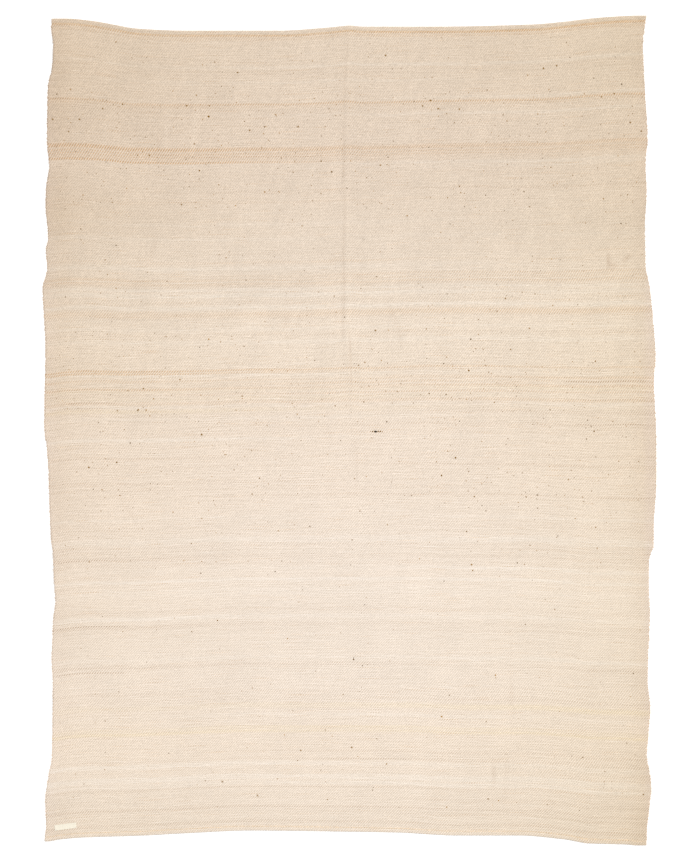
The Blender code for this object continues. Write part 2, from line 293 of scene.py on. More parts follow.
# How strongly each side shows that painted shade: millimetres along, then shares
SideDepth = namedtuple("SideDepth", "y left right")
SIDE_DEPTHS = table_of(
    SideDepth,
    (1000, 1.0, 0.6), (900, 1.1, 0.65), (776, 1.15, 0.6), (676, 0.8, 0.7), (600, 1.05, 0.75),
    (530, 1.35, 0.8), (440, 0.9, 0.8), (376, 1.0, 0.65), (276, 0.85, 0.55), (176, 0.95, 0.75),
    (76, 0.9, 0.75), (-24, 0.75, 0.95), (-224, 0.9, 0.85), (-324, 0.8, 0.9), (-450, 0.75, 0.8),
    (-650, 0.45, 1.0), (-750, 0.45, 0.9), (-850, 0.3, 1.2), (-1000, 0.5, 1.4),
)
# How much of a crease's painted shade or a stain's colour each of red, green and blue takes
CREASE_WARMTH = (0.8, 1.0, 1.15)

# Dark flecks that stand out in the wool. Millimetres: place and length; then how dark each is
Fleck = namedtuple("Fleck", "x y length depth")
MARKED_FLECKS = table_of(
    Fleck,
    (-352, 785, 4.5, 1.00), (-375, 650, 3.6, 1.00), (-280, 895, 3.2, 0.85), (-407, 812, 3.6, 0.95),
    (-350, 812, 3.2, 0.85), (-567, 815, 3.0, 0.85), (-617, 805, 3.2, 0.85), (-742, 778, 3.4, 0.85),
    (-675, 778, 3.2, 0.85), (-702, 748, 3.0, 0.85), (-500, 688, 3.2, 0.85), (-420, 565, 3.2, 0.95),
    (-128, 760, 3.2, 0.85), (485, 905, 4.0, 0.90), (518, 912, 3.8, 0.85), (90, 938, 3.6, 0.85),
    (202, 825, 3.8, 0.90), (222, 805, 3.2, 0.90), (275, 803, 3.2, 0.85), (662, 842, 3.4, 0.85),
    (630, 835, 3.6, 0.85), (702, 770, 3.4, 0.90), (730, 748, 3.2, 0.85), (390, 330, 3.6, 0.85),
    (65, 250, 3.6, 0.85), (298, 150, 3.4, 1.00), (230, -112, 3.0, 1.00), (-652, -92, 3.2, 1.00),
    (-582, -80, 3.2, 0.95), (-528, 52, 3.0, 1.00), (-370, -10, 3.6, 0.90), (-515, 105, 3.4, 0.85),
    (265, -68, 3.0, 0.95), (612, -2, 3.0, 0.95), (312, -165, 3.0, 0.85), (5, -792, 3.8, 0.80),
    (-318, -878, 3.2, 0.75), (-230, -912, 3.2, 0.75), (735, -910, 3.4, 0.85),
)
# A row of dark dots on one pick, just right of the middle. Millimetres: x and half size; then how red it is
Dot = namedtuple("Dot", "x size redness")
DOT_ROW_Y = -2.6
DOT_ROW = table_of(
    Dot,
    (52.5, 0.9, 0.6), (57.5, 1.5, 0.4), (61.5, 1.2, 0.7), (65.0, 2.5, -0.4), (68.4, 1.6, 0.0),
    (72.5, 1.5, 0.5), (77.5, 1.7, 0.4), (82.5, 1.2, 0.8),
)
# The other flecks are scattered. Millimetres: a zone's two ends; then how many lie in it
FleckZone = namedtuple("FleckZone", "y0 y1 count")
FLECK_ZONES = table_of(
    FleckZone,
    (850, 985, 60), (700, 850, 190), (550, 700, 190), (400, 550, 60), (250, 400, 85), (100, 250, 160),
    (-50, 100, 160), (-200, -50, 160), (-350, -200, 85), (-500, -350, 30), (-650, -500, 30),
    (-800, -650, 32), (-950, -800, 50),
)
# How far from the middle line the scattered ones lie
FLECK_REACH = 735
# How many strands of fibre a fleck of each kind is made of
STRANDS = {"marked": 9, "dot": 12, "scattered": 5}
# Half sizes in millimetres, and how red the marked flecks are
MARKED_SIZE = 2.1
MARKED_REDNESS = 0.55
SMALL_SHARE = 0.85
SMALL_SIZES = (0.5, 1.05)
LARGE_SIZES = (1.05, 1.8)
# No channel of a fleck's brown is darker than this
DARKEST_BROWN = 0.003


# Smooth curves through the tables


def smooth_curve(knots, values):
    """Returns a function of position: a smooth curve through the knots that never overshoots them."""
    order = np.argsort(knots)
    knots = np.array(knots, dtype=float)[order]
    values = np.array(values, dtype=float)[order]
    steps = np.diff(knots)
    slopes = np.diff(values) / steps
    before, after = slopes[:-1], slopes[1:]
    one_way = before * after > 0
    tangents = np.zeros_like(values)
    inner = tangents[1:-1]
    inner[one_way] = 2 * (before * after)[one_way] / (before + after)[one_way]

    def curve(position):
        at = np.clip(position, knots[0], knots[-1])
        i = np.clip(np.searchsorted(knots, at, side="right") - 1, 0, len(steps) - 1)
        t = (at - knots[i]) / steps[i]
        rise = t * t * (3 - 2 * t)
        leaving = t * (1 - t) ** 2 * steps[i] * tangents[i]
        arriving = t * t * (t - 1) * steps[i] * tangents[i + 1]
        return values[i] + rise * (values[i + 1] - values[i]) + leaving + arriving

    return curve


def table_curve(table, place, value, unit=MM):
    """A smooth curve through two columns of a table, as a function of metres. unit is the values' own."""
    places = [getattr(row, place) * MM for row in table]
    values = [getattr(row, value) * unit for row in table]
    return smooth_curve(places, values)


left_out = table_curve(LEFT_EDGE, "along", "out")
right_out = table_curve(RIGHT_EDGE, "along", "out")
top_out = table_curve(TOP_EDGE, "along", "out")
bottom_out = table_curve(BOTTOM_EDGE, "along", "out")
crest_x = table_curve(FOLD_CREST, "y", "x")
crest_lift = table_curve(FOLD_CREST, "y", "lift")
hem_face = table_curve(HEM_SECTION, "inwards", "face")
hem_underside = table_curve(HEM_SECTION, "inwards", "underside")
selvedge_face = table_curve(SELVEDGE_SECTION, "inwards", "face", 1)
selvedge_underside = table_curve(SELVEDGE_SECTION, "inwards", "underside", 1)
drop_curves = [smooth_curve(np.array(BOW_ACROSS) * MM, np.array(bow.drops) * MM) for bow in PICK_BOWS]
side_depth = {side: table_curve(SIDE_DEPTHS, "y", side, 1) for side in ("left", "right")}
side_painted_shade = table_curve(SIDE_PAINTED_SHADES, "x", "share", 1)
side_painted_blue = table_curve(SIDE_PAINTED_SHADES, "x", "blue", 1)
wool_shade_and_light = [table_curve(WOOL_SHADES_AND_LIGHT, "y", channel, 1) for channel in ("red", "green", "blue")]


def mound(distance):
    """A soft mound of height 1 at distance 0 that ends level at distance 1."""
    return 0.5 * (1 + np.cos(np.pi * np.clip(np.abs(distance), 0, 1)))


# Metres. It keeps the numbers of the noise's cells above nought all over the cloth
NOISE_SHIFT = 9.0


def lattice_noise(x, y, cell_x, cell_y, seed):
    """Smooth noise from -1 to 1 whose features are about a cell in size, the same for a seed each time."""
    table = np.random.default_rng(seed).uniform(-1, 1, (61, 67))
    a, b = (x + NOISE_SHIFT) / cell_x, (y + NOISE_SHIFT) / cell_y
    i, j = np.floor(a).astype(int), np.floor(b).astype(int)
    s, t = a - i, b - j
    s, t = s * s * (3 - 2 * s), t * t * (3 - 2 * t)
    rows, columns = table.shape

    def corner(di, dj):
        return table[(i + di + 7 * ((j + dj) // columns)) % rows, (j + dj) % columns]

    low = corner(0, 0) * (1 - s) + corner(1, 0) * s
    high = corner(0, 1) * (1 - s) + corner(1, 1) * s
    return low * (1 - t) + high * t


# The cloth's surface. across and along are places on the cloth pulled straight, in metres from its middle


def end_rows(across):
    """The y of the bottom and the top end of the cloth, at a place across it."""
    return -LENGTH / 2 - bottom_out(across), LENGTH / 2 + top_out(across)


def side_columns(y):
    """The x of the left and the right selvedge, at a place along the cloth."""
    return -WIDTH / 2 - left_out(y), WIDTH / 2 + right_out(y)


def spread(across, along):
    """Where a place on the straight cloth lies on the floor: its x and y."""
    low, high = end_rows(across)
    y = low + (along / LENGTH + 0.5) * (high - low)
    left, right = side_columns(y)
    return left + (across / WIDTH + 0.5) * (right - left), y


def straighten(x, y):
    """The place on the straight cloth that lies at x, y."""
    left, right = side_columns(y)
    across = ((x - left) / (right - left) - 0.5) * WIDTH
    low, high = end_rows(across)
    return across, ((y - low) / (high - low) - 0.5) * LENGTH


def pick_drop(across, along):
    """How much lower than straight a pick lies, blended smoothly between the table's places."""
    heights = [bow.y * MM for bow in PICK_BOWS]
    drop = np.zeros(np.shape(across + along))
    for i, curve in enumerate(drop_curves):
        share = smooth_curve(heights, np.eye(len(heights))[i])(along)
        drop = drop + share * curve(across)
    return drop


def beaten_up(along):
    """How far along a pick is counted from, when the picks are beaten up more closely in some stretches."""
    places = np.linspace(-1.1, 1.1, 441)
    share = table_curve(WEAVE_CHANGES, "y", "beat", 1)(places)
    counted = np.concatenate([[0], np.cumsum(0.5 * (share[1:] + share[:-1]) * np.diff(places))])
    return np.interp(along, places, counted - counted[len(counted) // 2])


def weave_place(across, along):
    """The place counted in threads' own lengths: the picks bow, and both sets of threads crowd a little."""
    u = across + 3.2 * MM * np.sin(9.1 * across + 2.3 * along + 0.6) * np.cos(3.7 * along - 1.1)
    u = u + 2.4 * MM * np.sin(5.2 * along - 4.4 * across)
    return u, beaten_up(along) + pick_drop(across, along)


def pick_place(y):
    """Where the pick that crosses the stripes' own line, near the middle, at y is counted from."""
    across, along = straighten(STRIPES_MEASURED_AT, y)
    return weave_place(across, along)[1]


def cloth_lift(x, y):
    """How far the cloth's underside stands off the surface that it lies on: the solid's fold and swells."""
    lift = FOLD_LEFT * crest_lift(y) * mound((x - crest_x(y)) / FOLD_HALF_WIDTH)
    for swell in SWELLS:
        across = (x - swell.x * MM) / (swell.half_x * MM)
        along = (y - swell.y * MM) / (swell.half_y * MM)
        lift = lift + swell.lift * MM * mound(np.hypot(across, along))
    return lift


def crease_lines(x, y, measure):
    """The creases' depth or shade, added up, at places on the floor."""
    total = np.zeros_like(x)
    for crease in CREASES:
        start = np.array((crease.x0, crease.y0)) * MM
        run = np.array((crease.x1, crease.y1)) * MM - start
        length = np.hypot(*run)
        run = run / length
        along = (x - start[0]) * run[0] + (y - start[1]) * run[1]
        off = (x - start[0]) * run[1] - (y - start[1]) * run[0]
        off = off + 1.5 * MM * np.sin(along * 31)
        fade = mound(2 * along / length - 1) ** 0.5
        total = total + getattr(crease, measure) * fade * mound(off / (crease.half_width * MM))
    return total


def wrinkles(x, y):
    """Short soft wrinkles that run mostly along the warp, from -1 to 1, plainer towards the bottom end."""
    return lattice_noise(x - 0.25 * y, y, 0.015, 0.042, seed=13) * np.interp(y, (-0.2, 0.2), (0.5, 1.0))


def cockle(x, y):
    """The slight unevenness of hand-woven cloth that lies free."""
    wide = lattice_noise(x, y, 0.130, 0.090, seed=11)
    fine = lattice_noise(x, y, 0.045, 0.030, seed=12)
    return (0.30 * wide + 0.16 * fine + 0.22 * wrinkles(x, y)) * MM


def thick_picks(across, along):
    """How far thicker picks and slubs in them raise the face."""
    u, v = weave_place(across, along)
    single = lattice_noise(u, v, 0.070, 0.0045, seed=21)
    group = lattice_noise(u, v, 0.200, 0.014, seed=22)
    return (0.10 * single + 0.08 * group) * MM


# How far from an end and from a side the slight relief reaches its full height
END_FADE = 25 * MM
SIDE_FADE = 12 * MM


def cloth_heights(across, along):
    """The heights of the face and the underside, in metres above the floor."""
    x, y = spread(across, along)
    low, high = end_rows(across)
    left, right = side_columns(y)
    from_end = np.minimum(y - low, high - y)
    from_side = np.minimum(x - left, right - x)
    lift = cloth_lift(x, y)
    body = np.clip(from_end / END_FADE, 0, 1) * np.clip(from_side / SIDE_FADE, 0, 1)
    relief = cockle(x, y) + thick_picks(across, along) - crease_lines(x, y, "depth") * MM
    mid = hem_underside(from_end) + 0.5 * (hem_face(from_end) - hem_underside(from_end))
    rise = np.where(selvedge_face(from_side) > 1, selvedge_face(from_side), 1.0)
    ease = np.clip(selvedge_face(from_side), 0, 1)
    drop = np.clip(selvedge_underside(from_side), 0, 1)
    face = mid + (hem_face(from_end) - mid) * (2 * ease - 1) * rise
    underside = mid - (mid - hem_underside(from_end)) * (1 - 2 * drop)
    return lift + face + body * relief, lift + underside


def face_point(across, along, above=0.0):
    """A point on the cloth's face, or above it, as an array of x, y and z."""
    x, y = spread(across, along)
    face, _ = cloth_heights(across, along)
    return np.stack([x, y, face + above], axis=-1)


def pick_tint(across, along):
    """What the stripes multiply a pick's colour by, as red, green, blue: for the turns at the selvedges."""
    u, v = weave_place(across, along)
    tint = np.ones(np.shape(u) + (3,))
    for yarn, stripes in STRIPES.items():
        for stripe in stripes:
            near = mound((v - pick_place(stripe.y * MM)) / (stripe.width * MM))
            strength = np.interp(u, (-0.5, 0.0, 0.5), (stripe.left, stripe.middle, stripe.right)) * near
            tint = tint * (1 + strength[..., None] * (np.array(YARN_SHADES[yarn]) - 1))
    return tint


def shade_of(across, along):
    """The wool's slow change of shade over the cloth, with painted light and shade, as red, green, blue."""
    x, y = spread(across, along)
    # The wool's own shade, with painted falloff of the light along the cloth
    shade = np.stack([channel(y) for channel in wool_shade_and_light], axis=-1)
    # Random mottle of the wool, with painted shade from the same wrinkles that raise the face
    mottle_and_wrinkle_shade = lattice_noise(x, y, 0.070, 0.080, seed=41) * np.interp(y, (-0.3, 0.3), (0.015, 0.022))
    mottle_and_wrinkle_shade = 1 + mottle_and_wrinkle_shade + 0.022 * wrinkles(x, y)
    low, high = end_rows(across)
    from_low, from_high = y - low, high - y
    # Painted shade along each hem's seam, in the groove where it is sewn down
    seam = BOTTOM_SEAM.shown * mound((from_low - BOTTOM_SEAM.inwards * MM) / SEAM_HALF_WIDTH)
    seam = seam + TOP_SEAM.shown * mound((from_high - TOP_SEAM.inwards * MM) / SEAM_HALF_WIDTH)
    groove = 1 - seam[..., None] * (1 - np.array(SEAM_PAINTED_SHADE))
    # Painted shade towards both selvedges
    strength = np.where(x < 0, side_depth["left"](y), side_depth["right"](y))
    sides = side_painted_shade(x)[..., None] ** (strength[..., None] * np.array(SIDE_WARMTH))
    sides[..., 2] *= side_painted_blue(x)
    # Painted shade along creases and painted light along ribs, with the stains' own colour
    crease_shade_and_stains = 1 - crease_lines(x, y, "shade")[..., None] * np.array(CREASE_WARMTH)
    return shade * sides * mottle_and_wrinkle_shade[..., None] * groove * crease_shade_and_stains


# Meshes


def link(thing):
    bpy.context.scene.collection.objects.link(thing)
    return thing


def add_mesh(name, points, faces, material, smooth=True, maps=(), colours=()):
    """Makes an object of points and faces. maps and colours are (name, a row for each point)."""
    mesh = bpy.data.meshes.new(name)
    mesh.from_pydata([tuple(point) for point in points], [], [tuple(face) for face in faces])
    corner = np.zeros(len(mesh.loops), dtype=int)
    mesh.loops.foreach_get("vertex_index", corner)
    for map_name, places in maps:
        layer = mesh.uv_layers.new(name=map_name)
        layer.data.foreach_set("uv", np.asarray(places)[corner].ravel())
    for colour_name, values in colours:
        layer = mesh.color_attributes.new(colour_name, "FLOAT_COLOR", "POINT")
        with_alpha = np.concatenate([values, np.ones((len(values), 1))], axis=1)
        layer.data.foreach_set("color", with_alpha.ravel())
    if smooth:
        mesh.shade_smooth()
    mesh.materials.append(material)
    mesh.validate()
    mesh.update()
    return link(bpy.data.objects.new(name, mesh))


def add_tubes(name, paths, radii, sides, material, tints, flat=1.0):
    """Makes one object of closed tubes. paths is tubes by steps by 3, radii tubes by steps, tints by tube."""
    tubes, steps, _ = paths.shape
    ahead = np.gradient(paths, axis=1)
    ahead /= np.maximum(np.linalg.norm(ahead, axis=2, keepdims=True), 1e-9)
    level = np.cross(ahead, np.array((0.0, 0.0, 1.0)))
    steep = np.linalg.norm(level, axis=2, keepdims=True) < 1e-4
    level = np.where(steep, np.array((1.0, 0.0, 0.0)), level)
    level /= np.linalg.norm(level, axis=2, keepdims=True)
    upward = np.cross(level, ahead)
    turn = 2 * np.pi * np.arange(sides) / sides
    reach = radii[:, :, None, None]
    ring = level[:, :, None] * np.cos(turn)[:, None] + flat * upward[:, :, None] * np.sin(turn)[:, None]
    points = (paths[:, :, None] + reach * ring).reshape(-1, 3)
    index = np.arange(tubes * steps * sides).reshape(tubes, steps, sides)
    near, far = index[:, :-1], index[:, 1:]
    quads = np.stack([near, np.roll(near, -1, 2), np.roll(far, -1, 2), far], axis=-1).reshape(-1, 4)
    starts, ends = index[:, 0, ::-1], index[:, -1]
    faces = quads.tolist() + starts.tolist() + ends.tolist()
    shades = np.repeat(tints, steps * sides, axis=0)
    return add_mesh(name, points, faces, material, colours=[("Tint", shades)])


# Materials


class Socket:
    """A shader socket that Python expressions can use: each operation adds the node that does it."""

    def __init__(self, shader, output):
        self.shader = shader
        self.output = output

    def is_value(self):
        return self.output.type == "VALUE"

    def maths(self, operation, *values):
        kind = "ShaderNodeMath" if self.is_value() else "ShaderNodeVectorMath"
        return self.shader.add(kind, {"operation": operation}, dict(enumerate(values)))

    def __add__(self, other):
        return self.maths("ADD", self, other)

    def __radd__(self, other):
        return self.maths("ADD", self, other)

    def __sub__(self, other):
        return self.maths("SUBTRACT", self, other)

    def __rsub__(self, other):
        return self.maths("SUBTRACT", other, self)

    def __mul__(self, other):
        if not self.is_value() and (isinstance(other, (int, float)) or is_value(other)):
            return self.shader.add("ShaderNodeVectorMath", {"operation": "SCALE"}, {0: self, "Scale": other})
        return self.maths("MULTIPLY", self, other)

    def __rmul__(self, other):
        return self * other

    def __pow__(self, other):
        return self.maths("POWER", self, other)

    def __gt__(self, other):
        return self.maths("GREATER_THAN", self, other)

    def __lt__(self, other):
        return self.maths("LESS_THAN", self, other)


def is_value(thing):
    return isinstance(thing, Socket) and thing.is_value()


class Shader:
    """A new material whose nodes are written as expressions."""

    def __init__(self, name):
        self.material = bpy.data.materials.new(name)
        self.material.use_nodes = True
        self.tree = self.material.node_tree
        self.surface = self.tree.nodes["Principled BSDF"]
        self.count = 0

    def add(self, kind, settings=None, inputs=None, output=0):
        """Adds a node: its settings first, then its sockets' values and links. Returns one output."""
        node = self.tree.nodes.new(kind)
        node.location = (-220 * (1 + self.count // 8), 320 - 170 * (self.count % 8))
        self.count += 1
        for setting, value in (settings or {}).items():
            setattr(node, setting, value)
        for place, value in (inputs or {}).items():
            self.feed(node.inputs[place], value)
        return Socket(self, node.outputs[output])

    def feed(self, entry, value):
        if isinstance(value, Socket):
            self.tree.links.new(value.output, entry)
        elif entry.type == "RGBA" and len(value) == 3:
            entry.default_value = (*value, 1)
        else:
            entry.default_value = value

    def function(self, operation, *values):
        """A Math node with a function's name, such as FLOOR or MINIMUM."""
        return self.add("ShaderNodeMath", {"operation": operation}, dict(enumerate(values)))

    def clamp(self, value):
        return self.add("ShaderNodeClamp", {}, {"Value": value})

    def place(self, map_name):
        """The two coordinates of a map, as values."""
        flat = self.add("ShaderNodeUVMap", {"uv_map": map_name})
        parts = self.add("ShaderNodeSeparateXYZ", {}, {0: flat})
        return tuple(Socket(self, parts.output.node.outputs[axis]) for axis in "XY")

    def point(self, x, y, z=0.0):
        return self.add("ShaderNodeCombineXYZ", {}, {"X": x, "Y": y, "Z": z})

    def noise(self, point, scale, detail=2.0, rough=0.5):
        inputs = {"Vector": point, "Scale": scale, "Detail": detail, "Roughness": rough}
        return self.add("ShaderNodeTexNoise", {"noise_dimensions": "3D"}, inputs)

    def mix(self, share, first, second):
        """A colour mix. The node has sockets of one name for each kind of data, so the colours' are used."""
        node = self.add("ShaderNodeMix", {"data_type": "RGBA"}, {"Factor": share}).output.node
        for entry in node.inputs:
            if entry.type == "RGBA":
                self.feed(entry, {"A": first, "B": second}[entry.name])
        return Socket(self, next(out for out in node.outputs if out.type == "RGBA"))

    def attribute(self, name):
        return self.add("ShaderNodeVertexColor", {"layer_name": name})

    def colour(self, value):
        plain = self.add("ShaderNodeRGB")
        plain.output.default_value = (*value, 1)
        return plain

    def dot(self, first, second):
        return self.add("ShaderNodeVectorMath", {"operation": "DOT_PRODUCT"}, {0: first, 1: second}, "Value")

    def ramp(self, value, stops):
        """A colour ramp through stops of (place, (red, green, blue))."""
        ramp = self.add("ShaderNodeValToRGB", {}, {0: value})
        elements = ramp.output.node.color_ramp.elements
        for place, _ in stops[2:]:
            elements.new(place)
        for element, (place, shade) in zip(elements, stops):
            element.position = place
            element.color = (*shade, 1)
        return ramp

    def finish(self, colour, roughness, height=None, depth=0.0, sheen=0.0, gloss=0.2):
        """Joins the results to the surface. height is in metres where depth is 1."""
        self.feed(self.surface.inputs["Base Color"], colour)
        self.feed(self.surface.inputs["Roughness"], roughness)
        self.surface.inputs["Specular IOR Level"].default_value = gloss
        self.surface.inputs["Sheen Weight"].default_value = sheen
        self.surface.inputs["Sheen Roughness"].default_value = 0.5
        if height is not None:
            bump = self.add("ShaderNodeBump", {}, {"Strength": 1.0, "Distance": depth, "Height": height})
            self.feed(self.surface.inputs["Normal"], bump)
        return self.material


# A ramp holds at most 32 stops, and ten stripes have 40, so each group of ten takes two ramps
STRIPES_IN_GROUP = 10
STOPS_IN_RAMP = 32
# A stripe's edges: shares of its half width, and of its strength
STRIPE_EDGES = ((-0.9, 0), (-0.35, 1), (0.35, 1), (0.9, 0))


def striped(shader, pick_y, u, stripes):
    """How strong one yarn's stripes are at a place, from ramps whose colours are left, middle and right."""
    left = shader.clamp(-2.0 * u)
    right = shader.clamp(2.0 * u)
    weights = shader.point(left, 1.0 - left - right, right)
    total = 0.0
    stripes = sorted(stripes, key=lambda stripe: stripe.y)
    for first in range(0, len(stripes), STRIPES_IN_GROUP):
        group = stripes[first:first + STRIPES_IN_GROUP]
        low = pick_place((group[0].y - group[0].width - 2) * MM)
        high = pick_place((group[-1].y + group[-1].width + 2) * MM)
        stops = []
        for stripe in group:
            strengths = (stripe.left, stripe.middle, stripe.right)
            for share, strength in STRIPE_EDGES:
                place = (pick_place((stripe.y + share * stripe.width) * MM) - low) / (high - low)
                stops.append((place, tuple(strength * side for side in strengths)))
        for part in (stops[:STOPS_IN_RAMP], stops[STOPS_IN_RAMP:]):
            if part:
                ramp = shader.ramp((pick_y - low) * (1 / (high - low)), sorted(part))
                total = shader.dot(ramp, weights) + total
    return total


# How far apart neighbouring picks lie in the noise that shades them
PICK_STEP = 3.3
# How much painted shade the hollows give the cloth on average, and the darkest that painted shade may make it
USUAL_HOLLOW_SHADE = 0.28
DARKEST_HOLLOW_SHADE = 0.3
# How much of a streak's shade each of red, green and blue takes
STREAK_WARMTH = (1.25, 1.5, 2.05)


def twill_material(cloth):
    """Cream 2/2 twill: floats of warp over the weft's stripes, with the Shade attribute's tone and painted
    light and shade, painted shade in the hollows, and fibres.
    """
    shader = Shader("cream alpaca twill")
    u, v = shader.place("Weave")
    end = u * (1 / cloth.end_pitch)
    pick = v * (1 / cloth.pick_pitch)
    end_number = shader.function("FLOOR", end)
    pick_number = shader.function("FLOOR", pick)
    in_end = end - end_number
    in_pick = pick - pick_number
    warp_wave = shader.function("COSINE", (pick - end_number) * (math.pi / 2))
    weft_wave = shader.function("COSINE", (end - pick_number - 3.0) * (math.pi / 2))
    end_round = 1 - (2 * in_end - 1) ** 2.0
    pick_round = 1 - (2 * in_pick - 1) ** 2.0

    # A thread stands as high as it floats and as it is round. Hollows lie where neither set stands high
    warp_height = 0.55 * warp_wave + 0.45 * end_round
    weft_height = 0.55 * weft_wave + 0.45 * pick_round
    warp_shows = shader.clamp((warp_height - weft_height) * 5.0 + 0.5)
    height = shader.function("MAXIMUM", warp_height, weft_height)
    hollow = shader.clamp(1.25 - 1.35 * height)

    # The wool is coarser towards the top end. Each pick's shade is unlike the next one's and changes along it
    coarse = shader.clamp(0.5 + 0.9 * v)
    row = pick_number * PICK_STEP

    def unlike_neighbour(point_of):
        here, below = (shader.noise(point_of(place), 1.0, 1.0) for place in (row, row - PICK_STEP))
        return here - below

    long_streak = unlike_neighbour(lambda place: shader.point(u * 5.0, place))
    short_streak = unlike_neighbour(lambda place: shader.point(u * 24.0, place, 7.0))
    group_streak = shader.noise(shader.point(u * 3.0, v * 75.0, 3.0), 1.0, 2.0) - 0.5
    slub = shader.clamp((shader.noise(shader.point(u * 11.0, row, 13.0), 1.0, 1.0) - 0.62) * 7.0)
    pale_slub = shader.clamp((shader.noise(shader.point(u * 14.0, row, 23.0), 1.0, 1.0) - 0.63) * 7.0)
    streak = cloth.streaks * (0.19 * long_streak + 0.26 * short_streak + 0.035 * group_streak)
    streak = streak * (1.08 + coarse * (0.45 - 0.67 * coarse))
    along_warp = shader.noise(shader.point(end_number * 3.7, v * 16.0), 1.0) - 0.5
    float_shade = shader.noise(shader.point(end_number * 0.53, pick_number * 0.53, 4.0), 1.9, 0.0) - 0.5
    fibre = shader.noise(shader.point(u * 3.0, v), 900.0, 3.0, 0.6)
    fluff = shader.noise(shader.point(u, v * 1.2, 9.0), 480.0, 1.0, 0.7) - 0.5

    # The painted shade in the hollows is stronger in some stretches and patches than in others
    first, last = (change.y * MM for change in (WEAVE_CHANGES[0], WEAVE_CHANGES[-1]))
    stops = [((row.y * MM - first) / (last - first), (0.5 * row.twill,) * 3) for row in WEAVE_CHANGES]
    clear = shader.dot(shader.ramp((v - first) * (1 / (last - first)), stops), (1.0, 0.0, 0.0))
    patch = shader.noise(shader.point(u, v * 2.0, 31.0), 22.0, 1.0)
    depth = 2.0 * cloth.painted_hollow_shade * clear * (0.7 + 0.6 * patch)

    # The Shade attribute: the wool's tone with the painted light and shade that shade_of gives it
    wool = shader.attribute("Shade")
    warp = shader.colour(cloth.warp_colour)
    weft = shader.colour(cloth.weft_colour)
    pick_y = (pick_number + 0.5) * cloth.pick_pitch
    for yarn, shade in YARN_SHADES.items():
        strength = striped(shader, pick_y, u, STRIPES[yarn])
        weft = weft * shader.mix(shader.clamp(strength * cloth.stripes), (1, 1, 1), shade)
    for dash in DARK_PICKS:
        near = shader.function("ABSOLUTE", pick_y - pick_place(dash.y * MM)) < 0.26 * dash.width * MM
        off = shader.function("ABSOLUTE", u - (dash.x0 + dash.x1) / 2 * MM)
        fade = shader.clamp(((dash.x1 - dash.x0) / 2 * MM - off) * 60.0)
        weft = weft * shader.mix(near * fade * (2.2 * dash.depth), (1, 1, 1), DARK_YARN)
    weft = weft * shader.mix(slub * (0.55 * cloth.streaks), (1, 1, 1), YARN_SHADES["ochre"])
    weft = weft * shader.mix(pale_slub * cloth.streaks, (1, 1, 1), YARN_SHADES["white"])
    tones = [1.0 + warmth * streak for warmth in STREAK_WARMTH]
    weft_colour = weft * shader.point(*tones) * (1.0 - 0.04 * clear)
    warp_colour = warp * (1.0 + 0.5 * streak + 0.10 * along_warp + 0.02 * clear)
    colour = shader.mix(warp_shows, weft_colour, warp_colour) * wool
    # Painted shade in the hollows between floats, then the floats' and fibres' random tone
    hollow_shade_and_tone = 1.0 - USUAL_HOLLOW_SHADE * cloth.painted_hollow_shade - depth * (hollow - USUAL_HOLLOW_SHADE)
    hollow_shade_and_tone = shader.function("MAXIMUM", hollow_shade_and_tone, DARKEST_HOLLOW_SHADE)
    hollow_shade_and_tone = hollow_shade_and_tone * (1.0 + (0.25 + 0.24 * coarse) * float_shade + (0.38 + 0.2 * coarse) * fluff)
    colour = colour * hollow_shade_and_tone
    relief = height + 0.25 * fibre
    return shader.finish(colour, 0.86 + 0.10 * fibre, relief, cloth.weave_relief, sheen=0.12, gloss=0.15)


def yarn_material(name, colour, gloss=0.2):
    """Loose yarn, thread or fibre in its own tint, with fine streaks."""
    shader = Shader(name)
    tint = shader.attribute("Tint")
    place = shader.add("ShaderNodeTexCoord", {}, {}, "Object")
    streak = shader.noise(place, 900.0, 2.0, 0.6)
    plain = shader.colour(colour)
    shown = (plain * tint) * (0.86 + 0.28 * streak)
    return shader.finish(shown, 0.82 + 0.12 * streak, streak, 0.15 * MM, sheen=0.12, gloss=gloss)


def label_material(label):
    """Smooth off-white tape: fine ribs across, a firmer border along both long edges."""
    shader = Shader("woven label tape")
    u, v = shader.place("Tape")
    rib = shader.function("SINE", u * (2 * math.pi / (0.45 * MM)))
    fill = shader.function("SINE", v * (2 * math.pi / (0.30 * MM)))
    cloudy = shader.noise(shader.point(u, v), 160.0, 3.0)
    border = shader.function("ABSOLUTE", v) > (label.height / 2 - 1.1 * MM)
    plain = shader.colour(label.tape_colour)
    colour = plain * (0.95 + 0.05 * cloudy + 0.012 * rib - 0.05 * border)
    relief = 0.6 * rib + 0.4 * fill * (1 - border) + 0.8 * border
    return shader.finish(colour, 0.42 + 0.14 * cloudy, relief, 0.06 * MM, sheen=0.05, gloss=0.4)


def floor_material(stage):
    """Plain pale matt floor, slightly cloudy."""
    shader = Shader("pale studio floor")
    place = shader.add("ShaderNodeTexCoord", {}, {}, "Object")
    cloudy = shader.noise(place, 1.5)
    plain = shader.colour(stage.floor_colour)
    return shader.finish(plain * (0.995 + 0.005 * cloudy), 0.95, gloss=0.0)


# Settings that a user would change


def length_setting(name, description, default, **limits):
    return bpy.props.FloatProperty(
        name=name, description=description, default=default, unit="LENGTH", precision=5, **limits
    )


def colour_setting(name, description, default):
    return bpy.props.FloatVectorProperty(
        name=name, description=description, default=default, subtype="COLOR", size=3, min=0.0, max=1.0
    )


